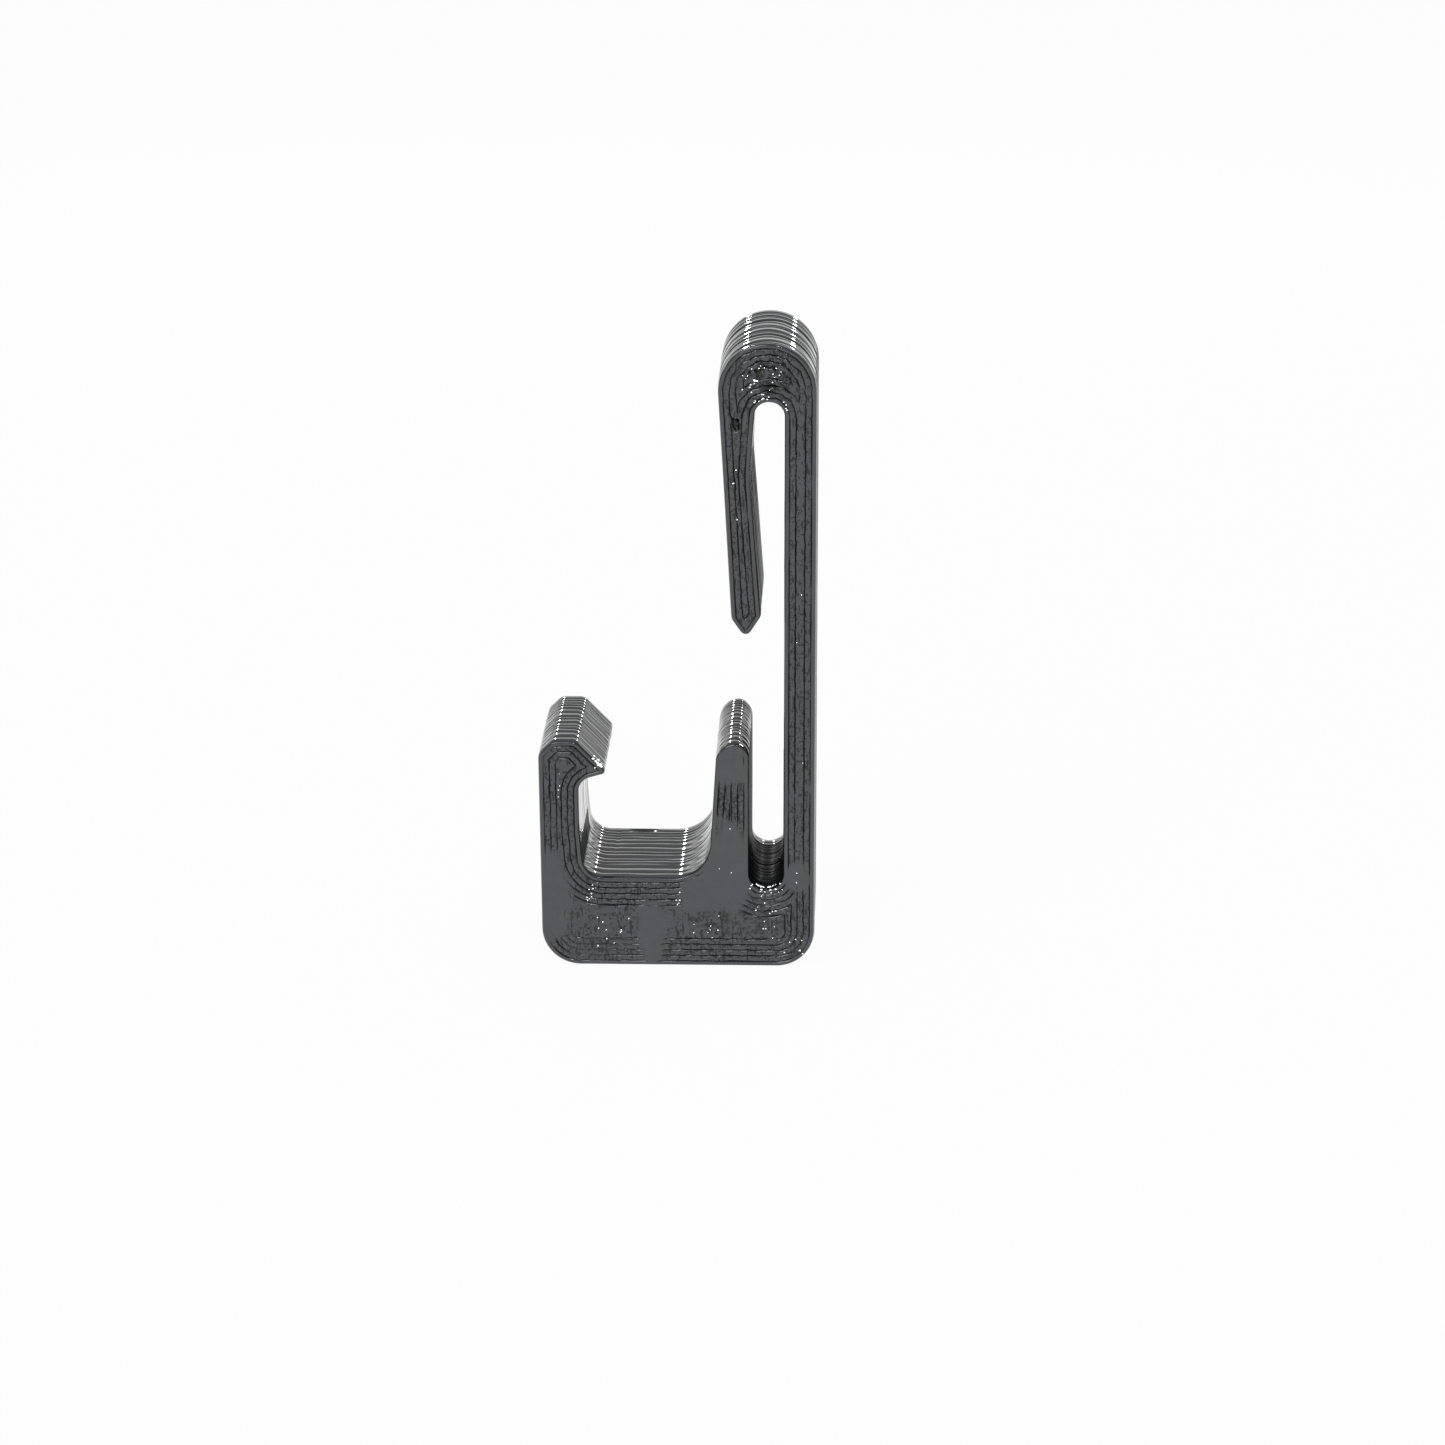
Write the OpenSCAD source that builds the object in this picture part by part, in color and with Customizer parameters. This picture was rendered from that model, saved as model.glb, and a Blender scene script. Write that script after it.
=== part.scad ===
// Headphone hook: one constant profile, drawn in the XZ plane and extruded
// along Y.  It stands on its base, +Z up, with the origin at the middle of the
// underside.  The stem and the spring arm clip over a thin panel, and the
// cradle on the -X side holds the headband.  Millimetres and degrees.

/* [Overall] */
// Depth of the hook from front face to back face
hook_depth = 15.5; // [8:0.5:40]
// Height of the base block, from underside to cradle floor
base_h = 10.7; // [8:0.1:18]
// Radius of the base corner under the lip
lip_corner_r = 4.4; // [1:0.1:7]
// Radius of the base corner under the stem
stem_corner_r = 4.3; // [1:0.1:7]

/* [Panel clip] */
// Width of the lower panel slot
panel_gap = 3.7; // [2:0.1:6]
// Height of the lower slot's round end above the underside
slot_floor = 9.4; // [7:0.1:16]
// Height between the round ends of the two slots
panel_h = 55.9; // [50:0.1:90]
// Thickness of the stem
stem_t = 3.6; // [2.5:0.05:6]
// Thickness of the crown above the upper slot
crown_roof = 6.6; // [5.5:0.1:9]
// Radius of the upper slot's round end
slot_top_r = 1.55; // [1:0.05:2]
// Width of the upper slot at the arm's flexing point
throat_w = 3.55; // [3:0.05:4]

/* [Spring arm] */
// Thickness of the crown leg that carries the arm, at the crown's widest line
arm_root_t = 3.45; // [3:0.05:5]
// Thickness of the arm
arm_t = 3; // [2:0.05:3.2]
// Length of the arm, from its flexing point to its tip
arm_len = 17.6; // [10:0.1:24]
// Lean of the arm towards the stem
arm_lean = 3.2; // [0:0.1:4]
// Depth of the flexing point below the end of the upper slot
flex_drop = 8.3; // [5:0.1:12]
// Height of the point at the arm's tip
tip_h = 1.6; // [0.5:0.1:4]
// Width of the blunt end of that point
tip_flat = 0.8; // [0.4:0.1:1.6]
// Running clearance around the arm's root in its seat
flex_clear = 0.05; // [0.02:0.01:0.1]

/* [Cradle] */
// Width of the cradle between the lip and the foot of the post
cradle_w = 14.15; // [10:0.05:40]
// Thickness of the lip
lip_t = 4.45; // [3.6:0.05:10]
// Height of the lip above the cradle floor
lip_h = 16.1; // [14:0.1:30]
// Outward flare of the lip's outer face at the bevel
lip_flare = 0.1; // [0:0.05:0.5]
// Size of the bevel on the lip's outer top edge
lip_bevel = 1.6; // [0.5:0.1:2.4]
// Width of the lip's flat crest
crest_w = 2.7; // [0.5:0.1:2.8]
// Overhang of the barb past the lip's inner face
barb_reach = 2.9; // [2:0.1:4]
// Height from the barb's nose up to the crest
barb_drop = 3.3; // [1:0.1:5]
// Thickness of the barb's nose
nose_t = 0.6; // [0.3:0.1:1.5]
// Rise of the barb's underside from the undercut to the nose
under_rise = 0.6; // [0.1:0.1:1]
// Radius of the undercut below the barb
undercut_r = 1.7; // [0.5:0.1:1.9]
// Height of the tapered foot inside the lip
foot_h = 5.6; // [3.5:0.1:8]
// Width that the foot adds to the lip at the floor
foot_w = 0.3; // [0.1:0.1:1.5]
// Radius between the lip's foot and the cradle floor
foot_r = 2.6; // [0.5:0.1:3]
// Thickness of the post at its foot
post_t = 4.65; // [4:0.05:8]
// Thickness of the post at its shoulder
post_top_t = 3.75; // [3.4:0.05:3.95]
// Height of the post above the cradle floor
post_h = 16; // [10:0.1:30]
// Bevel on the cradle side of the post's top
post_bevel = 1.3; // [0.3:0.1:1.6]
// Bevel on the slot side of the post's top
post_slot_bevel = 1.1; // [0.3:0.1:1.6]
// Radius between the post and the cradle floor
post_r = 4.2; // [0.5:0.1:4.5]

/* [Hidden] */
$fn = 96;
PLASTIC = "#3c3c3f";
// Amount by which a cutting shape overshoots the face it cuts
over = 1;

// Faces along the hook, from the lip's side to the stem's back
hook_w = lip_flare + lip_t + cradle_w + post_t + panel_gap + stem_t;
x_flare = -hook_w / 2;
x_lip_outer = x_flare + lip_flare;
x_lip_inner = x_lip_outer + lip_t;
x_lip_foot = x_lip_inner + foot_w;
x_post_foot = x_lip_inner + cradle_w;
x_slot_post = x_post_foot + post_t;
x_slot_stem = x_slot_post + panel_gap;
x_stem_back = x_slot_stem + stem_t;

// Round ends of the slots
slot_r = panel_gap / 2;
z_slot_foot = slot_floor + slot_r;
z_slot_top = slot_floor + panel_h;
z_slot_neck = z_slot_top - slot_top_r;
x_slot_low = x_slot_post + slot_r;
x_slot_high = x_slot_stem - slot_top_r;

// Tops of the fillets at the feet of the lip and the post
z_lip_foot = base_h + foot_r;
z_post_foot = base_h + post_r;

// Crown
x_leg_outer = x_slot_post - arm_root_t;
crown_r = (x_stem_back - x_leg_outer) / 2;
x_crown = (x_stem_back + x_leg_outer) / 2;
z_crown = z_slot_top + crown_roof - crown_r;

// Flexing point: middle of the crown's leg at its lower end
z_flex = z_slot_top - flex_drop;
x_leg_low = x_leg_outer + tan(arm_lean) * (z_crown - z_flex);
x_throat = x_slot_stem - throat_w;
x_flex = (x_leg_low + x_throat) / 2;
knuckle_r = arm_t / 2;
seat_r = knuckle_r + flex_clear;
// The lips of the seat stop this far above the flexing point
seat_lip_h = knuckle_r / 2;

// Extrudes a profile drawn as (x, z) over the hook's full depth
module prism() {
    rotate([90, 0, 0])
        linear_extrude(height = hook_depth, center = true)
            children();
}

// Concave fillet that fills the corner at the origin, towards +x and +y
module cove(r) {
    difference() {
        square(r);
        translate([r, r]) circle(r);
    }
}

// Cutter that rounds an outer corner at the origin, of material towards +x and +y
module corner_cutter(r) {
    difference() {
        translate([-over, -over]) square(r + over);
        translate([r, r]) circle(r);
    }
}

// Trough under the cradle and the lower slot, with rounded lower corners.
// It holds the feet of the lip and the post, up to the top of their fillets.
module base() {
    color(PLASTIC) difference() {
        union() {
            prism() translate([x_lip_outer, 0])
                square([x_stem_back - x_lip_outer, base_h]);
            prism() translate([x_lip_outer, 0])
                square([x_lip_foot - x_lip_outer, z_lip_foot]);
            prism() translate([x_lip_foot, base_h]) cove(foot_r);
            prism() translate([x_post_foot, 0]) square([post_t, z_post_foot]);
            prism() translate([x_post_foot, base_h]) mirror([1, 0]) cove(post_r);
            prism() translate([x_slot_post, 0])
                square([x_stem_back - x_slot_post, z_slot_foot]);
        }
        prism() translate([x_lip_outer, 0]) corner_cutter(lip_corner_r);
        prism() translate([x_stem_back, 0]) mirror([1, 0]) corner_cutter(stem_corner_r);
        prism() translate([x_slot_low, z_slot_foot]) circle(slot_r);
    }
}

// Outer wall of the cradle: bevelled crest, lead-in slope and inward barb
module outer_lip() {
    z_top = base_h + lip_h;
    z_nose = z_top - barb_drop;
    z_under = z_nose - nose_t - under_rise;
    x_crest = x_flare + lip_bevel;
    x_nose = x_lip_inner + barb_reach;
    color(PLASTIC) union() {
        prism() polygon([
            [x_lip_outer, z_lip_foot],
            [x_flare, z_top - lip_bevel],
            [x_crest, z_top],
            [x_crest + crest_w, z_top],
            [x_nose, z_nose],
            [x_nose, z_nose - nose_t],
            [x_lip_inner + undercut_r, z_under],
            [x_lip_inner, z_under],
            [x_lip_inner, base_h + foot_h],
            [x_lip_foot, z_lip_foot]
        ]);
        prism() translate([x_lip_inner, z_under]) mirror([0, 1]) cove(undercut_r);
    }
}

// Tapered wall between the cradle and the lower slot
module middle_post() {
    z_top = base_h + post_h;
    x_shoulder = x_slot_post - post_top_t;
    color(PLASTIC) prism() polygon([
        [x_post_foot, z_post_foot],
        [x_shoulder, z_top - post_bevel],
        [x_shoulder + post_bevel, z_top],
        [x_slot_post - post_slot_bevel, z_top],
        [x_slot_post, z_top - post_slot_bevel],
        [x_slot_post, z_post_foot]
    ]);
}

// Straight strap behind the panel, from the base to the crown
module stem() {
    color(PLASTIC) prism()
        translate([x_slot_stem, z_slot_foot])
            square([stem_t, z_flex - z_slot_foot]);
}

// Round head over the panel's edge; its -X leg holds the seat of the arm
module crown() {
    color(PLASTIC) prism() difference() {
        union() {
            translate([x_crown, z_crown]) circle(crown_r);
            translate([x_leg_outer, z_flex])
                square([2 * crown_r, z_crown - z_flex]);
        }
        // upper slot, a little wider at the flexing point than at its round end
        translate([x_slot_high, z_slot_neck]) circle(slot_top_r);
        polygon([
            [x_slot_high - slot_top_r, z_slot_neck],
            [x_slot_stem, z_slot_neck],
            [x_slot_stem, z_flex - over],
            [x_throat, z_flex - over],
            [x_throat, z_flex]
        ]);
        // lean of the leg's outer face
        polygon([
            [x_leg_outer, z_crown],
            [x_leg_low, z_flex],
            [x_leg_low, z_flex - over],
            [x_leg_outer - over, z_flex - over],
            [x_leg_outer - over, z_crown]
        ]);
        // open end of the leg, and the arm's round seat above it
        translate([x_leg_outer - over, z_flex - over])
            square([x_slot_stem - x_leg_outer + over, over + seat_lip_h]);
        translate([x_flex, z_flex]) circle(seat_r);
    }
}

// Leaning arm that presses the panel against the stem
module spring_arm() {
    color(PLASTIC) translate([x_flex, 0, z_flex]) rotate([0, -arm_lean, 0]) union() {
        prism() circle(knuckle_r);
        prism() polygon([
            [-knuckle_r, 0],
            [knuckle_r, 0],
            [knuckle_r, tip_h - arm_len],
            [tip_flat / 2, -arm_len],
            [-tip_flat / 2, -arm_len],
            [-knuckle_r, tip_h - arm_len]
        ]);
    }
}

base();
outer_lip();
middle_post();
stem();
crown();
spring_arm();
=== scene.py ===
# %% [markdown]
# # A printed headphone hook
# The hook is one continuous 3-D print in glossy black plastic: a constant
# profile, built up in layers from its back face to its front face.  What makes
# it look printed is its relief, so this lesson models that relief as real
# geometry: lines of plastic laid side by side on the faces, and layers stacked
# behind each other on the sides.  The solids of the frame give every place.

# %% Load the frame
import math

import bmesh
import bpy
import numpy as np
from mathutils import Matrix, Vector, noise
from mathutils.geometry import delaunay_2d_cdt


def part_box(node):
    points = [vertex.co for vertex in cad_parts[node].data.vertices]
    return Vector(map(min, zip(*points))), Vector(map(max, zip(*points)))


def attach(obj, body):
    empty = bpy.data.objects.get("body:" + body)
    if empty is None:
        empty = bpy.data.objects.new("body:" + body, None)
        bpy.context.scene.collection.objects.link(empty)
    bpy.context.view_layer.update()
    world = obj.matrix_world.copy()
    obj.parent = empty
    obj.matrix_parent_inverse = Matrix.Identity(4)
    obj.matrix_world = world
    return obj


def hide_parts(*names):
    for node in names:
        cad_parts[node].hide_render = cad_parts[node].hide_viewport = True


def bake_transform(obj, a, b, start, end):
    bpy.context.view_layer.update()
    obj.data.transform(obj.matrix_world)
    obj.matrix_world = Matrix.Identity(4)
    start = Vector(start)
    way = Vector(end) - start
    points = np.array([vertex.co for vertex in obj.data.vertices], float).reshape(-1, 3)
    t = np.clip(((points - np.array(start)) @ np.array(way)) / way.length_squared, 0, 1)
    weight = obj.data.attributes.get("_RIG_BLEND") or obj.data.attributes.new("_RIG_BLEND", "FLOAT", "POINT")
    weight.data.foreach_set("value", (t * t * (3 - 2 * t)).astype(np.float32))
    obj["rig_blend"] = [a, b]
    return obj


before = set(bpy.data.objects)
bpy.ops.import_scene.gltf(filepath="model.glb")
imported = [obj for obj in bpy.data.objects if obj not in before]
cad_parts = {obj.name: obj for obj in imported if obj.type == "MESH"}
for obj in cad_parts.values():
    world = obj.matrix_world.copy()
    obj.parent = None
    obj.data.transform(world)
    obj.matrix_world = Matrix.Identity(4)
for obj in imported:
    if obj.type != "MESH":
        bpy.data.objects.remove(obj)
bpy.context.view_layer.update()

MM = 0.001
scene = bpy.context.scene
scene.view_settings.view_transform = "Standard"

# %% [markdown]
# ## Camera
# A product picture is taken from a little above and from the right of the
# hook, with a long lens so that its straight lines stay straight.  The place
# and the turn of the camera are set as plain numbers, and a small sideways
# shift puts the hook left of the picture's middle line without turning away.

# %% Camera
CAMERA_PLACE = Vector((19.142, -397.344, 171.430)) * MM
CAMERA_PITCH = 20.0365
CAMERA_ROLL = 0.5403
FOCAL_PX = 3785.13
AXIS_PX = 850.78
IMAGE_PX = 1445
SENSOR_MM = 36.0


def make_camera():
    """A camera that looks along +Y and down, rolled a little."""
    data = bpy.data.cameras.new("studio_camera")
    data.sensor_width = SENSOR_MM
    data.lens = FOCAL_PX / IMAGE_PX * SENSOR_MM
    data.shift_x = -(AXIS_PX - IMAGE_PX / 2) / IMAGE_PX
    data.clip_start, data.clip_end = 0.01, 20.0
    camera = bpy.data.objects.new("studio_camera", data)
    scene.collection.objects.link(camera)
    level = Matrix.Rotation(math.radians(90 - CAMERA_PITCH), 4, "X")
    roll = Matrix.Rotation(math.radians(CAMERA_ROLL), 4, "Z")
    camera.matrix_world = Matrix.Translation(CAMERA_PLACE) @ level @ roll
    return camera


scene.camera = make_camera()
print("lens", round(scene.camera.data.lens, 2), "mm")

# %% [markdown]
# ## Profile
# Every face of the hook follows one closed profile.  It is drawn in millimetres
# as a polygon with few corners, taken from the frame's boxes and from named
# sizes, and each corner is then rounded by the bevel operator with its own
# radius: a printed corner is never sharp, because the nozzle lays a round bead.

# %% Corners of the profile
base_low, base_high = (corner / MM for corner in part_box("base"))
lip_low, lip_high = (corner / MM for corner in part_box("outer_lip"))
_, post_high = (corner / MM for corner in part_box("middle_post"))
stem_low, _ = (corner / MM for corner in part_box("stem"))
_, crown_high = (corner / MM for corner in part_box("crown"))

FRONT_Y = base_low.y
BACK_Y = base_high.y
CRADLE_FLOOR_Z = 10.7
SLOT_FLOOR_Z = 9.4
SLOT_TOP_Z = 65.3
LIP_INNER_X = -10.775
LIP_BEVEL = 1.6
CREST_W = 2.7
NOSE_Z = 23.5
NOSE_T = 0.6
UNDERCUT_Z = 22.06
FOOT_X = -10.36
FOOT_TOP_Z = 16.3
POST_FOOT_X = 3.375
POST_SHOULDER_X = 4.275
POST_BEVEL = 1.3
POST_SLOT_BEVEL = 1.1
SLOT_TOP_X = 8.728
THROAT = (8.139, 57.08)
ARM_INNER = (9.32, 41.30)
TIP_INNER = (8.05, 39.30)
TIP_OUTER = (7.25, 39.20)
ARM_OUTER = (5.98, 41.05)
LEG = (5.125, 56.95)
LEG_TOP_X = 4.2745

PROFILE = [  # x, z and radius of each corner, clockwise from the front
    (base_low.x, 0.0, 4.4),
    (lip_low.x, lip_high.z - LIP_BEVEL, 1.4),
    (lip_low.x + LIP_BEVEL, lip_high.z, 1.2),
    (lip_low.x + LIP_BEVEL + CREST_W, lip_high.z, 1.2),
    (lip_high.x, NOSE_Z, 0.75),
    (lip_high.x, NOSE_Z - NOSE_T, 0.4),
    (LIP_INNER_X, UNDERCUT_Z, 1.6),
    (LIP_INNER_X, FOOT_TOP_Z, 9.0),
    (FOOT_X, CRADLE_FLOOR_Z, 2.35),
    (POST_FOOT_X, CRADLE_FLOOR_Z, 4.2),
    (POST_SHOULDER_X, post_high.z - POST_BEVEL, 2.0),
    (POST_SHOULDER_X + POST_BEVEL, post_high.z, 1.9),
    (post_high.x - POST_SLOT_BEVEL, post_high.z, 1.2),
    (post_high.x, post_high.z - POST_SLOT_BEVEL, 1.4),
    (post_high.x, SLOT_FLOOR_Z, 1.845),
    (stem_low.x, SLOT_FLOOR_Z, 1.845),
    (stem_low.x, SLOT_TOP_Z, 1.51),
    (SLOT_TOP_X, SLOT_TOP_Z, 1.4),
    (*THROAT, 9.0),
    (*ARM_INNER, 0.75),
    (*TIP_INNER, 0.7),
    (*TIP_OUTER, 0.7),
    (*ARM_OUTER, 1.3),
    (*LEG, 9.0),
    (LEG_TOP_X, crown_high.z, 5.37),
    (crown_high.x, crown_high.z, 5.37),
    (base_high.x, 0.0, 4.3),
]

# %% Round the corners and cut the long edges
ARC_STEP = 0.24
EDGE_STEP = 0.42
CLOSE = 0.02


def draw_profile():
    """The rounded profile as the ordered points of one face."""
    bm = bmesh.new()
    places = [Vector((x, 0.0, z)) for x, z, _ in PROFILE]
    verts = [bm.verts.new(p) for p in places]
    bm.faces.new(verts)
    for i, vert in enumerate(verts):
        radius = PROFILE[i][2]
        after = places[(i + 1) % len(places)]
        turn = (places[i] - places[i - 1]).angle(after - places[i])
        bmesh.ops.bevel(
            bm,
            geom=[vert],
            offset=radius * math.tan(turn / 2),
            offset_type="OFFSET",
            segments=max(3, round(radius * turn / ARC_STEP)),
            profile=0.5,
            affect="VERTICES",
            material=-1,
        )
    bmesh.ops.remove_doubles(bm, verts=bm.verts[:], dist=CLOSE)
    for edge in bm.edges[:]:
        cuts = round(edge.calc_length() / EDGE_STEP) - 1
        if cuts > 0:
            bmesh.ops.subdivide_edges(bm, edges=[edge], cuts=cuts)
    bm.faces.ensure_lookup_table()
    points = np.array([(l.vert.co.x, l.vert.co.z) for l in bm.faces[0].loops])
    bm.free()
    return points


def outward(points):
    """Unit normals that point out of a clockwise closed outline."""
    along = np.roll(points, -1, 0) - points
    side = np.stack([-along[:, 1], along[:, 0]], 1)
    side /= np.linalg.norm(side, axis=1)[:, None]
    mean = side + np.roll(side, 1, 0)
    return mean / np.linalg.norm(mean, axis=1)[:, None]


profile = draw_profile()
profile = np.roll(profile, -int(np.argmin(np.hypot(*profile.T))), 0)
profile_out = outward(profile)
steps_along = np.linalg.norm(np.diff(profile, axis=0), axis=1)
run_along = np.concatenate([[0.0], np.cumsum(steps_along)])
print(len(profile), "points round the profile,", round(run_along[-1]), "mm long")

# %% [markdown]
# ## Lines of plastic
# The nozzle follows the profile round and round, each time one line further
# in, so the grooves between the lines are curves at a constant distance from
# the profile.  A plain inset breaks where a wall is thinner than the lines, so
# the points of a moved outline are kept only where they are still that far
# from every side, and the kept runs are joined into closed loops.

# %% Curves at a constant distance inside the profile
LINE_W = 0.68
FIRST_GROOVE = 0.62
SLACK = 0.012
NEXT_RUN = 2.0
SHORTEST_LOOP = 5
CHUNK = 300


def distance_to_profile(points):
    """Distance from each point to the nearest side of the profile."""
    side = np.roll(profile, -1, 0) - profile
    length2 = (side**2).sum(1)
    best = []
    for start in range(0, len(points), CHUNK):
        off = points[start : start + CHUNK, None, :] - profile
        share = np.clip((off * side).sum(2) / length2, 0, 1)
        best.append(np.linalg.norm(off - share[..., None] * side, axis=2).min(1))
    return np.concatenate(best)


def join_runs(moved, runs):
    """Closed loops from runs of kept points, each joined to the run after it."""
    loops, left = [], list(range(len(runs)))
    while left:
        first = here = left[0]
        loop = []
        while True:
            loop += runs[here]
            left.remove(here)
            end = moved[runs[here][-1]]
            gaps = {c: np.linalg.norm(moved[runs[c][0]] - end) for c in [*left, first]}
            later = [c for c in left if c > here and gaps[c] < NEXT_RUN]
            here = later[0] if later else min(gaps, key=gaps.get)
            if here == first:
                break
        if len(loop) > SHORTEST_LOOP:
            loops.append(moved[loop])
    return loops


def loops_inside(gap):
    """The closed loops of points that lie a gap inside the profile."""
    moved = profile - profile_out * gap
    free = distance_to_profile(moved) > gap - SLACK
    if free.all():
        return [moved]
    start = int(np.argmin(free))
    runs, run = [], []
    for k in range(len(moved)):
        i = (start + k) % len(moved)
        if free[i]:
            run.append(i)
        elif run:
            runs.append(run)
            run = []
    if run:
        runs.append(run)
    return join_runs(moved, [r for r in runs if len(r) > 1])


print("points of the loops three lines in:", [len(l) for l in loops_inside(3 * LINE_W)])

# %% [markdown]
# ## Relief of the two faces
# Seen from the front, each line is a flat bead with a narrow dark groove on
# both sides.  The relief is a list of steps: how far inside the profile a loop
# lies, and how deep under the face.  An image could show such grooves too, but
# they would be flat at the rim, where the light shows them most.

# %% Steps of the relief
SHOULDER = [(0.10, 0.30), (0.15, 0.17), (0.23, 0.08), (0.34, 0.02), (0.46, 0.0)]
FLAT_FROM = SHOULDER[-1][0]
GROOVE_RIM = 0.085
GROOVE_BED = 0.032
GROOVE_DEPTH = 0.21
RIM_DEPTH = 0.02
LINES = 5
WANDER = 0.09
WANDER_SCALE = 1.3
SWIRL = 1.2
SWIRL_FROM_Z, SWIRL_TO_Z = 60.0, 64.0


def relief_steps():
    """Inset, depth and 1 for a groove's bed, of each step from the edge in."""
    steps = [(inset, depth, 0.0) for inset, depth in SHOULDER]
    for k in range(LINES):
        groove = FIRST_GROOVE + k * LINE_W
        steps += [
            (groove - GROOVE_RIM, RIM_DEPTH, 0.0),
            (groove - GROOVE_BED, GROOVE_DEPTH, 1.0),
            (groove + GROOVE_BED, GROOVE_DEPTH, 1.0),
            (groove + GROOVE_RIM, RIM_DEPTH, 0.0),
            (groove + LINE_W / 2, 0.0, 0.0),
        ]
    return steps


def step_up(value, low, high):
    """A smooth step from 0 at low to 1 at high."""
    t = min(1.0, max(0.0, (value - low) / (high - low)))
    return t * t * (3.0 - 2.0 * t)


def wave(x, z, scale, seed):
    """Smooth noise from -1 to 1 at a place on a face."""
    return noise.noise(Vector((x * scale, seed, z * scale)))


def warp(loop, inset):
    """Lets a loop wander a little, as the nozzle does, and more on the crown."""
    reach = WANDER * min(1.0, max(0.0, (inset - FLAT_FROM) / 0.3))
    moved = []
    for x, z in loop:
        here = reach * (1.0 + SWIRL * step_up(z, SWIRL_FROM_Z, SWIRL_TO_Z))
        across = here * wave(x, z, WANDER_SCALE, 50.0)
        up = here * wave(x, z, WANDER_SCALE, 60.0)
        moved.append((x + across, z + up))
    return np.array(moved)


relief = [
    (*step, [warp(loop, step[0]) for loop in loops_inside(step[0])]) for step in relief_steps()
]
relief = [step for step in relief if step[3]]
print(len(relief), "steps of relief on each face")

# %% [markdown]
# ## Uneven places
# No face of a print is even.  In some patches the grooves almost vanish, as if
# smeared smooth, and in some zones they are deeper.  Between the lines there
# are pits, short slanting strokes and a few open holes.  Noise alone would put
# them anywhere, so oval zones say where, and noise gives them ragged shapes.

# %% Smeared patches and the strength of the grooves
PATCH_RAGGED = 0.35
PATCH_SCALE = 0.55
WEAKEST, STRONGEST = 0.3, 1.5
SMOOTH_PATCHES = [  # centre x, z and half sizes on the front face
    (6.0, 24.2, 1.9, 2.6),
    (5.2, 11.8, 3.2, 5.6),
    (2.6, 8.6, 2.6, 2.4),
    (-14.2, 8.0, 2.4, 5.5),
    (-2.8, 4.2, 1.7, 4.4),
    (13.3, 10.8, 1.6, 1.8),
]
GROOVE_ZONES = [  # centre x, z, half sizes and gain of the grooves there
    (6.6, 1.4, 6.2, 2.4, 1.6),
    (-4.0, 9.4, 6.0, 1.6, 1.7),
    (-9.0, 4.0, 4.5, 3.4, 0.45),
    (13.6, 38.0, 0.7, 30.0, 1.5),
    (6.9, 50.0, 1.2, 10.0, 1.3),
]


def from_centre(x, z, px, pz, half_x, half_z):
    """0 at the centre of an oval zone and 1 on its rim."""
    return math.hypot((x - px) / half_x, (z - pz) / half_z)


def patch_at(x, z):
    """1 in the middle of a smeared patch of the front face, 0 outside them."""
    best = 0.0
    for zone in SMOOTH_PATCHES:
        reach = from_centre(x, z, *zone)
        reach += PATCH_RAGGED * wave(x, z, PATCH_SCALE, 7.0)
        best = max(best, min(1.0, max(0.0, (1.1 - reach) / 0.3)))
    return best


def groove_strength(x, z, seed):
    """How deep the grooves are at a place, from the weakest to the strongest."""
    strength = 0.95 + 0.8 * wave(x, z, 0.22, seed) + 0.4 * wave(x, z, 1.1, seed + 5.0)
    for *zone, gain in GROOVE_ZONES:
        if from_centre(x, z, *zone) < 1.0:
            strength *= gain
    return min(STRONGEST, max(WEAKEST, strength))


# %% Pits and hatching between the grooves
MARK_DEPTH = 0.10
MARK_FROM, MARK_TO = 0.10, 0.34
ROUGH_FROM = 0.72
ROUGH_BLEND = 0.12
ROUGH_ELSEWHERE = 0.22
PIT_SCALE, PIT_SHIFT = 3.3, 0.05
LONG_SCALE, CROSS_SCALE = 0.8, 2.6
LOW_SLANT, RIGHT_SLANT, LEFT_SLANT = 4, 34, -38
LOW_SLANT_Z = 12.0
ROUGH_ZONES = [  # centre x, z, half sizes and strength of the rougher places
    (10.2, 68.2, 2.3, 2.0, 1.3),
    (10.2, 68.2, 4.6, 3.8, 0.4),
    (7.4, 61.5, 1.6, 4.0, 0.5),
    (-7.1, 4.4, 3.4, 3.2, 0.4),
    (6.5, 5.4, 5.5, 1.5, 0.8),
    (5.9, 18.0, 1.9, 3.6, 0.8),
    (9.9, 6.6, 2.8, 1.9, 0.6),
]
VOIDS = [  # low x, high x, low z, high z and depth of holes between the lines
    (6.2, 6.85, 62.2, 63.4, 0.9),
    (8.6, 9.3, 68.55, 68.95, 0.5),
    (9.6, 11.1, 67.05, 67.35, 0.4),
]


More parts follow.
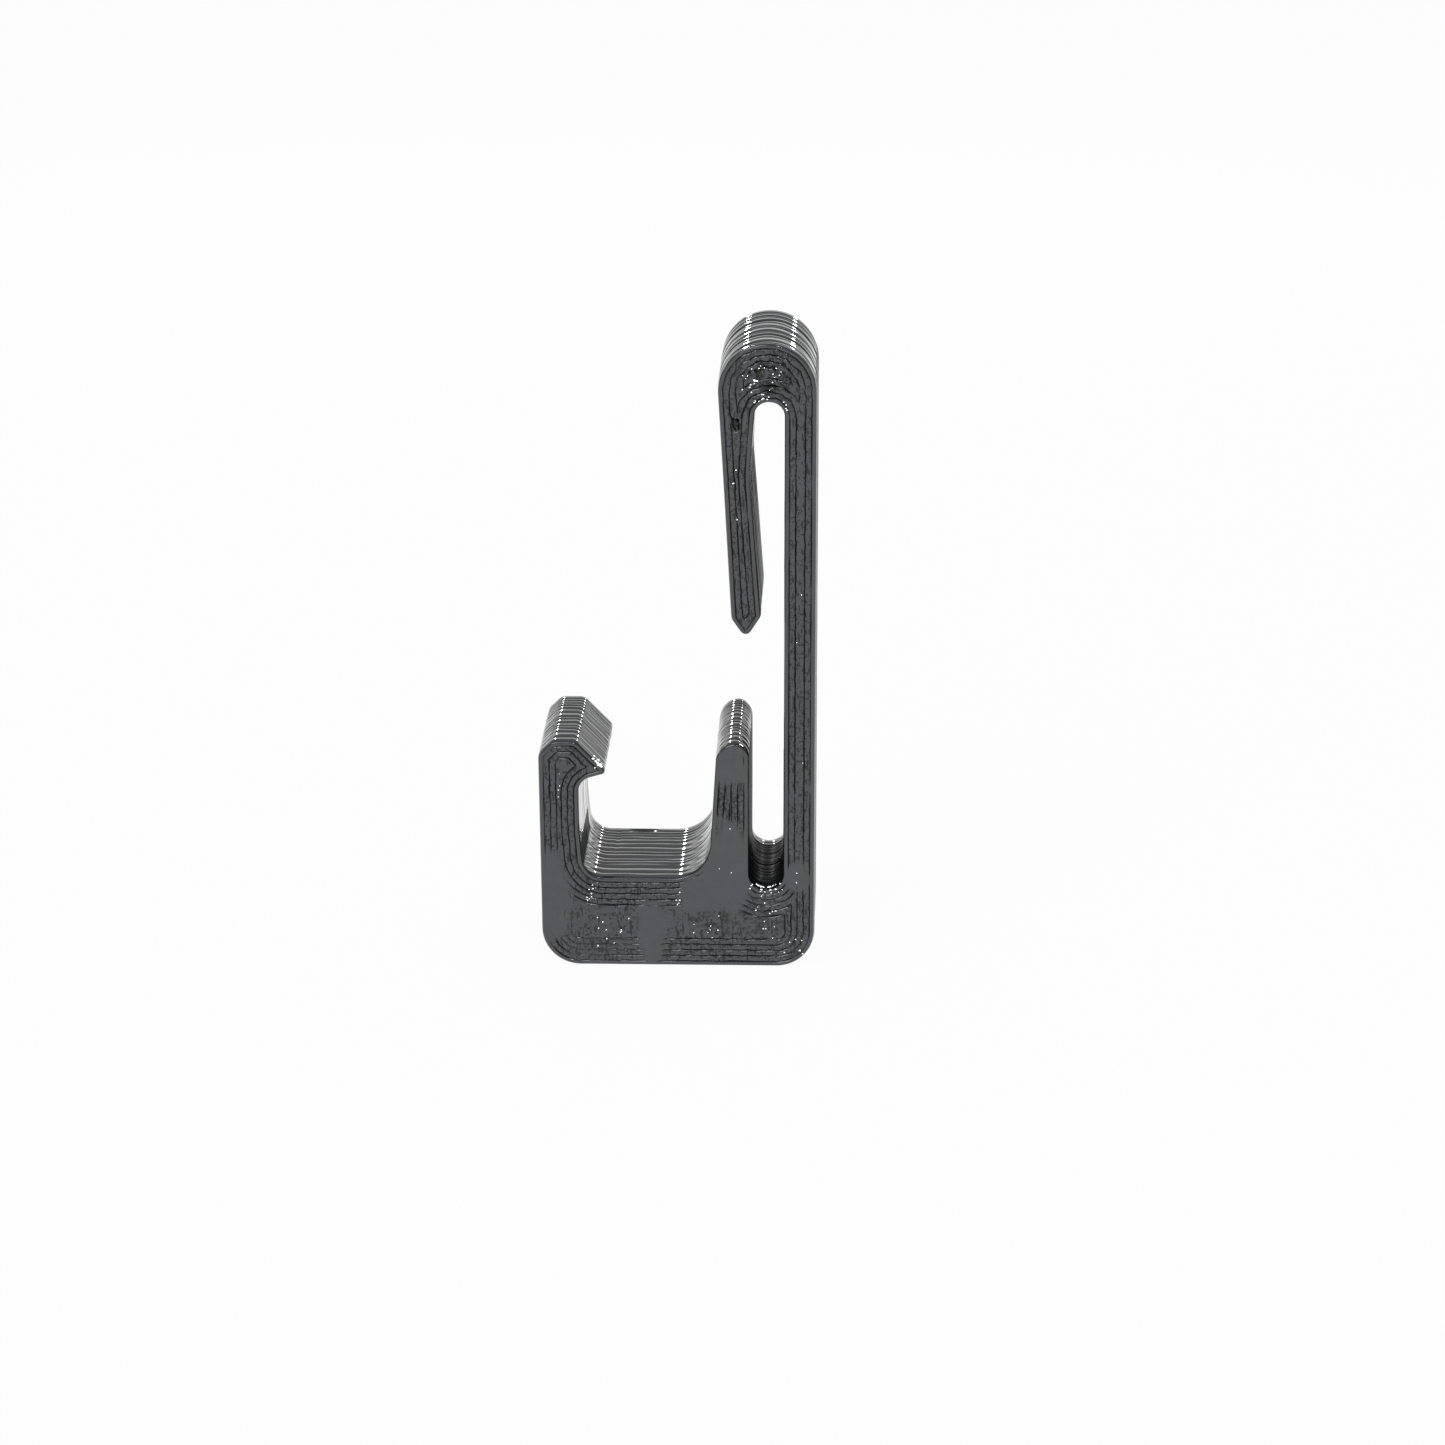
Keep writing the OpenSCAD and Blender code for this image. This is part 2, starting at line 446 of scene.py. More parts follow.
def mark_at(x, z, inset, patch):
    """How strongly the face is marked at a place, from 0 to about 1.5."""
    strength = 0.0
    for low_x, high_x, low_z, high_z, depth in VOIDS:
        if low_x < x < high_x and low_z < z < high_z:
            return depth / MARK_DEPTH
    if inset < ROUGH_FROM - ROUGH_BLEND:
        return 0.0
    pits = step_up(wave(x, z, PIT_SCALE, 70.0), MARK_FROM + PIT_SHIFT, MARK_TO + PIT_SHIFT)
    turn = RIGHT_SLANT if wave(x, z, 0.12, 90.0) > -0.1 else LEFT_SLANT
    slant = math.radians(LOW_SLANT if z < LOW_SLANT_Z else turn)
    along = x * math.cos(slant) + z * math.sin(slant)
    across = z * math.cos(slant) - x * math.sin(slant)
    hatch = noise.noise(Vector((along * LONG_SCALE, 80.0, across * CROSS_SCALE)))
    lines = step_up(hatch, MARK_FROM, MARK_TO)
    for *zone, more in ROUGH_ZONES:
        if from_centre(x, z, *zone) < 1.0:
            strength = max(strength, more)
    strength = strength or ROUGH_ELSEWHERE
    shown = step_up(inset, ROUGH_FROM - ROUGH_BLEND, ROUGH_FROM) * (1.0 - patch)
    return max(pits, lines) * strength * shown


# %% Points between the loops
GRID_STEP = 0.19
GRID_FROM = 0.5


def inside_profile(points):
    """True for each point that lies inside the profile."""
    inside = np.zeros(len(points), bool)
    for (x0, z0), (x1, z1) in zip(profile, np.roll(profile, -1, 0)):
        if z0 != z1:
            crossed = (points[:, 1] > z0) != (points[:, 1] > z1)
            inside ^= crossed & (points[:, 0] < x0 + (points[:, 1] - z0) * (x1 - x0) / (z1 - z0))
    return inside


def fill_points():
    """Jittered points of the front face with their insets, clear of every groove."""
    low, high = profile.min(0), profile.max(0)
    xs = np.arange(low[0], high[0], GRID_STEP)
    zs = np.arange(low[1], high[1], GRID_STEP)
    places = np.stack(np.meshgrid(xs, zs), -1).reshape(-1, 2)
    places += np.random.default_rng(3).uniform(-0.3, 0.3, places.shape) * GRID_STEP
    places = places[inside_profile(places)]
    inset = distance_to_profile(places)
    from_groove = np.abs((inset - FIRST_GROOVE + LINE_W / 2) % LINE_W - LINE_W / 2)
    clear = (from_groove > GROOVE_RIM + 0.045) | (inset > FIRST_GROOVE + (LINES - 0.5) * LINE_W)
    keep = clear & (inset > GRID_FROM)
    return warp(places[keep], FLAT_FROM + 1.0), inset[keep]


fill, fill_inset = fill_points()
print(len(fill), "points between the loops of the front face")

# %% [markdown]
# ## Layers on the sides
# Round the sides the print shows bands, one behind the other: fourteen beads
# of uneven width.  No two end at exactly the same place, so each one gets its
# own small step, and that step drifts along the profile.  The grooves between
# them are deeper on the crown than further down.  That is a choice made for
# the look: the bands of a real print would be alike all the way up.

# %% Steps of the layers
BEADS = 14
EDGE_DEPTH = 0.42
BEAD_SHARES = (0.0, 0.09, 0.24, 0.42, 0.6, 0.77, 0.91)
EVEN_BEAD, FLAT_BEAD, ROUND_BEAD = 2.6, 4.0, 1.8
BEAD_LEAN = 0.055
BOLD_FROM_Z, BOLD_TO_Z = 42.0, 56.0
SWELL = 0.04
SWAY = 0.15
rng = np.random.default_rng(7)
bead_share = np.cumsum([0.0, *rng.uniform(0.5, 1.6, BEADS)])
bead_space = BACK_Y - FRONT_Y - 2 * EDGE_DEPTH
bead_y = FRONT_Y + EDGE_DEPTH + bead_share / bead_share[-1] * bead_space
bead_step = rng.uniform(0.0, 0.045, BEADS + 1)
bead_deep = np.arange(BEADS + 1) % 2 == 0
bead_groove = np.where(bead_deep, 0.17, 0.10)
bead_plain = rng.uniform(0.045, 0.09, BEADS + 1)
bead_seed = rng.uniform(0.0, 40.0, BEADS + 1)
SIDE_FLAWS = [  # centre x, y, half sizes, low z, high z and depth of flaws in the layers
    (-4.5, 6.7, 1.4, 0.5, 10.0, 11.5, 0.4),
    (-7.3, 3.4, 0.45, 4.4, 10.0, 11.5, 0.07),
    (9.6, -6.6, 1.2, 0.9, 9.0, 10.4, 0.10),
]


def ripple(run, row, seed):
    """Smooth noise from -1 to 1 that runs along the profile."""
    return noise.noise(Vector((run, row, seed)))


def side_rings():
    """Rings from front to back: y, number of the bead, and the share of its width."""
    rings = [
        (bead_y[bead] + share * (bead_y[bead + 1] - bead_y[bead]), bead, share)
        for bead in range(BEADS)
        for share in BEAD_SHARES
    ]
    return [*rings, (bead_y[BEADS], BEADS, 0.0)]


def side_sway(y, run):
    """How far a ring wanders towards the front or back."""
    free = min(1.0, (y - bead_y[0]) / 0.8, (bead_y[-1] - y) / 0.8)
    return SWAY * free * ripple(run * 0.35, y * 0.5, 23.0)


def side_inset(y, bead, share, run, x, z):
    """How far a ring lies inside the profile, and how deep in a groove it is."""
    bold = step_up(z, BOLD_FROM_Z, BOLD_TO_Z)
    power = EVEN_BEAD + bold * ((FLAT_BEAD if bead % 2 else ROUND_BEAD) - EVEN_BEAD)
    drop = abs(2.0 * share - 1.0) ** power
    groove = bead_plain[bead] + bold * (bead_groove[bead] - bead_plain[bead])
    drift = ripple(run * 0.12, bead_seed[bead], 3.0)
    swell = ripple(run * 0.05, y * 0.75, 13.0)
    sharp = 0.75 + 0.6 * ripple(run * 0.3, bead_seed[bead], 9.0)
    step = bead_step[bead] * (0.7 + 0.6 * drift) + SWELL * (0.5 + 0.5 * swell)
    into_bead = min(1.0, max(0.0, (y - bead_y[bead]) / LINE_W))
    lean = 0.0 if bead % 2 else BEAD_LEAN * bold * into_bead
    flaw = 0.0
    for px, py, half_x, half_y, low_z, high_z, depth in SIDE_FLAWS:
        if low_z < z < high_z:
            reach = ((x - px) / half_x) ** 2 + ((y - py) / half_y) ** 2
            flaw = max(flaw, depth * max(0.0, 1.0 - reach))
    return step + (lean + drop * groove) * sharp + flaw, drop


# %% [markdown]
# ## Walls and faces
# A flat grid is rolled round the profile and becomes the walls.  Each face is
# then triangulated between its relief loops, so that every groove is an edge of
# the mesh, and it shares its rim with the walls, so the print is closed.  Boxes
# in space say which walls are duller and get a darker grey painted on as shade.
# They lie inside the slots, where little light comes in, and on the stem's back.
# That is a choice made for the look, because full gloss mirrors the white floor
# there and hides the outline.

# %% Walls of the print
FACE_ROUGH = 0.03
# The dullness also sets how much darker grey is painted on the walls as shade.
DULL_AND_SHADED_SIDES = [  # low x, high x, low z, high z, last y and dullness of the sides there
    (7.9, 11.9, 8.9, 26.0, 6.0, 1.0),
    (7.6, 9.6, 40.0, 60.0, 99.0, 0.85),
    (6.6, 8.1, 25.0, 27.0, 9.0, 0.78),
    (-15.4, -13.7, 25.0, 27.0, 99.0, 0.79),
    (-13.7, -11.0, 26.0, 27.0, 99.0, 0.3),
    (-11.0, -7.8, 23.0, 26.9, 99.0, 0.45),
    (4.0, 6.6, 24.5, 27.0, 99.0, 0.5),
    (-11.0, -9.9, 12.0, 14.8, 4.0, 1.0),
    (15.0, 15.5, 2.7, 68.3, 99.0, 0.82),
]
SATIN_SHADED_FROM, DULL_SHADED_FROM = 0.8, 0.84
GLOSSY, DULL_SHADED, SATIN_SHADED = 0, 1, 2
RIM_INSET = 0.08
# The groove and mark tags also say how much shade the material paints there.
TAGS = ("groove", "inset", "mark", "patch", "run")


def dullness_and_shade(x, y, z):
    """How dull the side of the print is at a place, and how much shade is painted there, 0 to 1."""
    return max(
        dull_shaded * (low_x < x < high_x and low_z < z < high_z and y < last_y)
        for low_x, high_x, low_z, high_z, last_y, dull_shaded in DULL_AND_SHADED_SIDES
    )


def build_walls(bm):
    """A flat grid rolled round the profile; returns the front and back rings."""
    tag = {name: bm.verts.layers.float[name] for name in TAGS}
    rings = side_rings()
    across, up = len(profile), len(rings) - 1
    grid = bmesh.ops.create_grid(bm, x_segments=across, y_segments=up, size=1.0)["verts"]
    rows = [[None] * across for _ in rings]
    seam = []
    for vert in grid:
        i = round((vert.co.x + 1) / 2 * across) % across
        k = round((vert.co.y + 1) / 2 * up)
        y, bead, share = rings[k]
        inset, drop = side_inset(y, bead, share, run_along[i], *profile[i])
        if k in (0, up):
            inset = RIM_INSET
        x, z = profile[i] - profile_out[i] * inset
        if i == 0:
            seam.append(vert)
        else:
            rows[k][i] = vert
        vert.co = (x, y + side_sway(y, run_along[i]), z)
        # How much shade is painted into the groove between two layers.
        vert[tag["groove"]] = max(0.0, drop - 0.3) * (1.0 if bead_deep[bead] else 0.6)
        vert[tag["run"]] = run_along[i]
        # The dullness, which also paints the wall darker as shade.
        vert[tag["mark"]] = dullness_and_shade(x, y, z)
    bmesh.ops.remove_doubles(bm, verts=seam, dist=CLOSE / 2)
    for vert in seam:
        if vert.is_valid:
            near = [abs(vert.co.y - y - side_sway(y, 0.0)) for y, _, _ in rings]
            rows[int(np.argmin(near))][0] = vert
    for face in bm.faces:
        dull_shaded = min(v[tag["mark"]] for v in face.verts)
        # Walls past these levels get copies of the plastic with shade painted darker.
        face.material_index = DULL_SHADED if dull_shaded > DULL_SHADED_FROM else SATIN_SHADED if dull_shaded > SATIN_SHADED_FROM else GLOSSY
    return rows[0], rows[-1]


# %% Faces of the print
FACE_SINK = 0.10


def face_depth(x, z, inset, depth, seed, patch, mark):
    """Depth of a relief point under its face."""
    tilt = 0.5 + 0.5 * wave(x, z, 0.5, seed)
    fine = 0.5 + 0.5 * wave(x, z, 1.9, seed + 11.0)
    rough = FACE_ROUGH * (0.6 * tilt + fine * (1.0 - 0.8 * patch)) + MARK_DEPTH * mark
    sink = FACE_SINK * min(1.0, inset / FLAT_FROM)
    if inset <= FLAT_FROM:
        return depth + sink + rough * inset / FLAT_FROM
    return depth * groove_strength(x, z, seed) * (1.0 - 0.93 * patch) + sink + rough


def build_face(bm, ring, face_y, inward, seed, loose):
    """One face of the print: every relief loop becomes an edge of its mesh."""
    tag = {name: bm.verts.layers.float[name] for name in TAGS}
    verts, pairs = list(ring), []

    def add(x, z, inset, depth, bed):
        patch = patch_at(x, z) if inward > 0 else 0.0
        mark = mark_at(x, z, inset, patch) if inward > 0 else 0.0
        below = face_depth(x, z, inset, depth, seed, patch, mark)
        vert = bm.verts.new((x, face_y + inward * below, z))
        # How much shade is painted into this groove's bed; the mark paints shade into pits.
        shown = bed * (1.0 - patch) * min(1.0, groove_strength(x, z, seed))
        for name, value in zip(TAGS, (shown, inset, mark, patch)):
            vert[tag[name]] = value
        verts.append(vert)

    for inset, depth, bed, loops in relief:
        for loop in loops:
            start, count = len(verts), len(loop)
            for x, z in loop:
                add(x, z, inset, depth, bed)
            pairs += [(start + k, start + (k + 1) % count) for k in range(count)]
    for (x, z), inset in loose:
        add(x, z, inset, 0.0, 0.0)
    flat = [Vector((v.co.x, v.co.z)) for v in verts]
    border = [list(range(len(ring)))]
    places, _, triangles, sources, _, _ = delaunay_2d_cdt(flat, pairs, border, 1, 1e-5)
    used = []
    for place, source in zip(places, sources):
        if source:
            used.append(verts[source[0]])
        else:
            used.append(bm.verts.new((place.x, face_y + inward * GROOVE_DEPTH, place.y)))
    for triangle in triangles:
        bm.faces.new([used[k] for k in triangle])
    bmesh.ops.delete(bm, geom=[v for v in verts if not v.link_faces], context="VERTS")


def build_print():
    """The whole print as one closed mesh, in millimetres."""
    bm = bmesh.new()
    for name in TAGS:
        bm.verts.layers.float.new(name)
    front, back = build_walls(bm)
    build_face(bm, front, FRONT_Y, 1.0, 2.0, list(zip(fill, fill_inset)))
    build_face(bm, back, BACK_Y, -1.0, 31.0, [])
    bmesh.ops.recalc_face_normals(bm, faces=bm.faces[:])
    for face in bm.faces:
        face.smooth = True
    return bm


# %% [markdown]
# ## Points of light
# Rough black gloss sparkles where a tiny flat spot mirrors a lamp.  Noise in the
# roughness can't give such a sharp point, so each spot is a small crumb of
# plastic with one flat facet.  The facet is turned to mirror one lamp towards
# the camera, so the crumbs sparkle in that view and are quiet in others.

# %% Chips that catch the light
GLINT_LAMP = (0.30, -0.75, 1.00)
CHIP_ZONES = [  # centre x, z, half sizes, how many chips, and their width
    (9.5, 67.5, 2.6, 2.2, 24, 0.12),
    (8.2, 67.6, 0.7, 0.7, 4, 0.22),
    (9.8, 6.6, 1.8, 1.3, 7, 0.13),
    (12.9, 2.6, 1.4, 1.7, 8, 0.13),
    (6.5, 4.4, 5.0, 2.4, 12, 0.11),
    (-9.6, 8.6, 0.5, 1.7, 8, 0.18),
    (0.0, 8.7, 0.4, 1.2, 5, 0.14),
    (-8.0, 4.0, 3.6, 2.6, 12, 0.12),
    (13.5, 34.0, 1.0, 26.0, 5, 0.09),
    (6.9, 56.0, 0.7, 5.0, 3, 0.16),
    (-13.3, 22.2, 0.7, 2.2, 4, 0.12),
    (5.5, 14.0, 1.4, 4.0, 3, 0.10),
    (-8.8, 24.3, 0.35, 0.9, 6, 0.15),
]
CHIP_RIMS = [  # centre x, z, radius, its spread, low and high angle, depth, count, width
    (10.18, 63.8, 2.25, 0.3, 20, 160, 0.05, 8, 0.15),
    (-8.75, 24.40, 0.0, 0.75, 128, 138, 0.16, 6, 0.45),
    (-8.62, 24.50, 0.0, 0.60, 128, 138, 0.9, 4, 0.4),
    (7.05, 26.3, 0.22, 0.1, 20, 100, 0.45, 4, 0.28),
    (6.85, 26.35, 0.12, 0.05, 40, 100, 1.9, 3, 0.24),
    (9.875, 11.245, 1.80, 0.04, 228, 262, 0.9, 4, 0.26),
    (9.875, 11.245, 1.80, 0.04, 275, 312, 0.9, 4, 0.26),
    (9.875, 11.245, 1.98, 0.10, 215, 325, 0.05, 6, 0.22),
    (9.875, 11.245, 2.40, 0.35, 215, 325, 0.05, 9, 0.14),
]
CHIP_HIGH = 0.13
CHIP_DEEP = 0.3
CHIP_SUNK = 0.05
CHIP_BACK = 0.002
CHIP_SHAPE = [(-1.0, -0.3), (-0.5, -1.0), (0.6, -0.9), (1.0, 0.1), (0.4, 1.0), (-0.7, 0.8)]


def chip_tilt(place):
    """Normal of a facet that mirrors the glint lamp towards the camera."""
    to_camera = (CAMERA_PLACE / MM - place).normalized()
    to_lamp = (Vector(GLINT_LAMP) / MM - place).normalized()
    return (to_camera + to_lamp).normalized()


def add_chip(bm, place, width):
    """A tiny crumb on the front face with one flat facet."""
    up = chip_tilt(place)
    side = (Vector((1, 0, 0)) - up * up.x).normalized()
    rise = up.cross(side)
    if rise.z < 0:
        rise = -rise
    high = max(CHIP_HIGH, 0.6 * width)
    top = [place + side * (a * width / 2) + rise * (b * high / 2) for a, b in CHIP_SHAPE]
    back = max(0.0, FRONT_Y + CHIP_BACK - min(p.y for p in top))
    top = [p + Vector((0, back, 0)) for p in top]
    low = [p + Vector((0, CHIP_DEEP, 0)) for p in top]
    rings = [[bm.verts.new(p) for p in ring] for ring in (top, low)]
    for vert in rings[0] + rings[1]:
        vert[bm.verts.layers.float["inset"]] = 1.0
        vert[bm.verts.layers.float["patch"]] = 1.0
    faces = [bm.faces.new(rings[0]), bm.faces.new(rings[1][::-1])]
    for k in range(len(top)):
        j = (k + 1) % len(top)
        faces.append(bm.faces.new((rings[0][k], rings[1][k], rings[1][j], rings[0][j])))
    bmesh.ops.recalc_face_normals(bm, faces=faces)


def sunk(x, z):
    """A place moved just under the sides of the print, if it lies above them."""
    nearest = int(np.argmin(np.hypot(profile[:, 0] - x, profile[:, 1] - z)))
    out = profile_out[nearest]
    above = (x - profile[nearest][0]) * out[0] + (z - profile[nearest][1]) * out[1]
    move = max(0.0, above + CHIP_SUNK)
    return x - out[0] * move, z - out[1] * move


def scatter_chips(bm):
    """Chips on the rims and in every zone; returns how many there are."""
    chance = np.random.default_rng(11)
    made = 0
    for x, z, radius, spread, low, high, depth, count, width in CHIP_RIMS:
        for _ in range(count):
            angle = math.radians(chance.uniform(low, high))
            reach = radius + chance.uniform(-spread, spread)
            px, pz = sunk(x + reach * math.cos(angle), z + reach * math.sin(angle))
            place = Vector((px, FRONT_Y + depth, pz))
            add_chip(bm, place, width * chance.uniform(0.6, 1.3))
            made += 1
    for x, z, half_x, half_z, count, width in CHIP_ZONES:
        for _ in range(count):
            angle, reach = chance.uniform(0, 2 * math.pi), math.sqrt(chance.uniform(0, 1))
            px = x + half_x * reach * math.cos(angle)
            pz = z + half_z * reach * math.sin(angle)
            spot = np.array([(px, pz)])
            if inside_profile(spot)[0] and distance_to_profile(spot)[0] > 0.3:
                place = Vector((px, FRONT_Y + FACE_SINK / 2, pz))
                add_chip(bm, place, width * chance.uniform(0.7, 1.5))
                made += 1
    return made


whole = build_print()
print(scatter_chips(whole), "chips")
open_edges = sum(len(e.link_faces) != 2 for e in whole.edges)
print(len(whole.verts), "vertices,", len(whole.faces), "faces,", open_edges, "open edges")

# %% [markdown]
# ## Three pieces for two bodies
# The arm bends and the rest stays, so the print is cut where the arm's leg
# leaves the crown, and once more across the plain stem to keep each mesh small.
# The cuts are flat and both sides keep the same points, so no seam shows.

# %% Cut the print
STEM_CUT_Z = 36.0
LEG_CUT_Z = 61.0
BEND_END_Z = 52.5
SLOT_MID_X = 9.9
ARM_FROM_Z = 38.0
CUT_REACH = 1.5


def cut_across(bm, height, low_x, high_x):
    """New edges where the print crosses a level plane between two x values."""
    near = [
        f
        for f in bm.faces
        if low_x < f.calc_center_median().x < high_x
        and abs(f.calc_center_median().z - height) < CUT_REACH
    ]
    parts = {p for f in near for p in (f, *f.edges, *f.verts)}
    bmesh.ops.bisect_plane(
        bm, geom=list(parts), dist=1e-4, plane_co=(0, 0, height), plane_no=(0, 0, 1)
    )


cut_across(whole, STEM_CUT_Z, SLOT_MID_X, 99.0)
cut_across(whole, LEG_CUT_Z, -99.0, SLOT_MID_X)


def piece_at(centre):
    """Name of the piece that a face of the print belongs to."""
    if centre.x < SLOT_MID_X and ARM_FROM_Z < centre.z < LEG_CUT_Z:
        return "printed_arm"
    return "printed_crown" if centre.z > STEM_CUT_Z else "printed_cradle"


def take_piece(name):
    """The part of the print with that name, capped, as a mesh object."""
    bm = whole.copy()
    others = [f for f in bm.faces if piece_at(f.calc_center_median()) != name]
    bmesh.ops.delete(bm, geom=others, context="FACES")
    rim = [e for e in bm.edges if e.is_boundary]
    for edge in rim:
        edge.smooth = False
    before = set(bm.faces)
    bmesh.ops.holes_fill(bm, edges=rim, sides=0)
    caps = [f for f in bm.faces if f not in before]
    bmesh.ops.triangulate(bm, faces=caps)
    bmesh.ops.recalc_face_normals(bm, faces=bm.faces[:])
    bmesh.ops.scale(bm, vec=(MM, MM, MM), verts=bm.verts[:])
    mesh = bpy.data.meshes.new(name)
    bm.to_mesh(mesh)
    triangles = sum(len(f.verts) - 2 for f in bm.faces)
    open_edges = sum(len(e.link_faces) != 2 for e in bm.edges)
    print(name, triangles, "triangles,", len(caps), "caps,", open_edges, "open edges")
    bm.free()
    piece = bpy.data.objects.new(name, mesh)
    scene.collection.objects.link(piece)
    return piece


cradle = take_piece("printed_cradle")
crown = take_piece("printed_crown")
arm = take_piece("printed_arm")
whole.free()

# %% [markdown]
# ## Black plastic
# The plastic is near black, with the gloss of molten polymer.  What the eye
# reads as its finish is small: grain between the lines, streaks along the
# layers and pits where the nozzle skipped.  A group of nodes makes that height
# and a tint from it, and the material turns them into bump and colour.  The
# darker colour in pits, strokes and grooves is painted shade.

# %% Helpers for shader nodes
def node(tree, kind, **values):
    """A shader node with its properties and its named inputs set."""
    made = tree.nodes.new(kind)
    for key, value in values.items():
        if hasattr(made, key):
            setattr(made, key, value)
        else:
            made.inputs[key.replace("_", " ")].default_value = value
    return made


def maths(tree, operation, a, b=0.5, clamp=False):
    """A Math node fed by two sockets or numbers; returns its output socket."""
    made = tree.nodes.new("ShaderNodeMath")
    made.operation = operation
    made.use_clamp = clamp
    for slot_in, value in zip(made.inputs, (a, b)):
        if isinstance(value, (int, float)):
            slot_in.default_value = value
        else:
            tree.links.new(value, slot_in)
    return made.outputs[0]


def ramp_up(tree, value, low, high, to_low=0.0, to_high=1.0):
    """A smooth step from one value at low to another at high."""
    made = tree.nodes.new("ShaderNodeMapRange")
    made.interpolation_type = "SMOOTHSTEP"
    ends = {"From Min": low, "From Max": high, "To Min": to_low, "To Max": to_high}
    for name, number in ends.items():
        made.inputs[name].default_value = number
    tree.links.new(value, made.inputs["Value"])
    return made.outputs["Result"]


def attribute(tree, name):
    """The value of a named attribute of the mesh."""
    made = tree.nodes.new("ShaderNodeAttribute")
    made.attribute_name = name
    return made.outputs["Fac"]


def grain(tree, place, scale, detail=2.0, turn=0.0, stretch=1.0):
    """Noise at a scale per metre, turned on the face and stretched along one way."""
    turned = tree.nodes.new("ShaderNodeMapping")
    turned.inputs["Rotation"].default_value = (0.0, math.radians(turn), 0.0)
    turned.inputs["Scale"].default_value = (1.0, 1.0, 1.0 / stretch)
    tree.links.new(place, turned.inputs["Vector"])
    made = node(tree, "ShaderNodeTexNoise", Scale=scale, Detail=detail)
    tree.links.new(turned.outputs[0], made.inputs["Vector"])
    return made.outputs["Fac"]


# %% Grain of the print, as a node group
PIT_FROM, PIT_TO = 0.58, 0.64
STROKE_FROM, STROKE_TO = 0.60, 0.66
STROKE_TURN, STROKE_LONG = 32.0, 4.0


def grain_group():
    """Height and tint of the printed surface from object coordinates, pits painted dark as shade."""
    tree = bpy.data.node_groups.new("print_grain", "ShaderNodeTree")
    face = tree.interface
    face.new_socket("Place", in_out="INPUT", socket_type="NodeSocketVector")
    face.new_socket("Face", in_out="INPUT", socket_type="NodeSocketFloat")
    face.new_socket("Rough", in_out="INPUT", socket_type="NodeSocketFloat")
    face.new_socket("Run", in_out="INPUT", socket_type="NodeSocketFloat")
    face.new_socket("Height", in_out="OUTPUT", socket_type="NodeSocketFloat")
    face.new_socket("Tint", in_out="OUTPUT", socket_type="NodeSocketFloat")
    face.new_socket("Skin", in_out="OUTPUT", socket_type="NodeSocketFloat")
    link = tree.links.new
    given = tree.nodes.new("NodeGroupInput")
    result = tree.nodes.new("NodeGroupOutput")
    place, on_face = given.outputs["Place"], given.outputs["Face"]

    blotch = grain(tree, place, 700.0, 3.0)
    pits = ramp_up(tree, grain(tree, place, 3600.0, 2.0), PIT_FROM, PIT_TO)
    strokes = grain(tree, place, 3000.0, 1.0, STROKE_TURN, STROKE_LONG)
    strokes = ramp_up(tree, strokes, STROKE_FROM, STROKE_TO)
    marks = maths(tree, "MAXIMUM", pits, strokes)
    marks = maths(tree, "MULTIPLY", marks, given.outputs["Rough"], clamp=True)

    part = tree.nodes.new("ShaderNodeSeparateXYZ")
    link(place, part.inputs[0])
    streak_at = tree.nodes.new("ShaderNodeCombineXYZ")
    link(maths(tree, "MULTIPLY", given.outputs["Run"], 0.12), streak_at.inputs[0])
    link(maths(tree, "MULTIPLY", part.outputs["Y"], 2600.0), streak_at.inputs[1])
    streak = node(tree, "ShaderNodeTexNoise", Scale=1.0, Detail=2.0)
    link(streak_at.outputs[0], streak.inputs["Vector"])

    # Painted shade: the tint of the face goes dark where pits and strokes mark it.
    unmarked = maths(tree, "SUBTRACT", 1.0, maths(tree, "MULTIPLY", marks, 0.9))
    link(unmarked, result.inputs["Skin"])
    face_tint = maths(tree, "MULTIPLY", ramp_up(tree, blotch, 0.2, 0.8, 0.65, 1.0), unmarked)
    side_tint = ramp_up(tree, streak.outputs["Fac"], 0.3, 0.7, 0.25, 0.6)
    tints = node(tree, "ShaderNodeMix", data_type="FLOAT")
    link(on_face, tints.inputs[0])
    link(side_tint, tints.inputs[2])
    link(face_tint, tints.inputs[3])
    link(tints.outputs[0], result.inputs["Tint"])

    face_height = maths(tree, "SUBTRACT", maths(tree, "MULTIPLY", blotch, 0.4), marks)
    heights = node(tree, "ShaderNodeMix", data_type="FLOAT")
    link(on_face, heights.inputs[0])
    link(maths(tree, "MULTIPLY", streak.outputs["Fac"], 0.25), heights.inputs[2])
    link(face_height, heights.inputs[3])
    link(heights.outputs[0], result.inputs["Height"])
    return tree


# %% [markdown]
# ## Two duller versions with painted shade
# The walls inside the slots and the stem's back get simpler materials with less
# gloss.  A low IOR takes away most of what a surface mirrors, which darkens the
# slots, and a higher roughness spreads the rest, which calms the stem's back.
# Both also have a darker grey base colour, painted on as shade.

# %% Dull and satin plastic, painted darker as shade
# Painted shade: greys darker than the glossy plastic, darkest where the wall is dullest.
DULL_SHADE_GREY = (0.022, 0.025, 0.030, 1.0)
DULL_SHADE_BLACK = (0.006, 0.007, 0.009, 1.0)
SATIN_SHADE_GREY = (0.013, 0.015, 0.019, 1.0)
SATIN_ROUGHNESS = 0.30


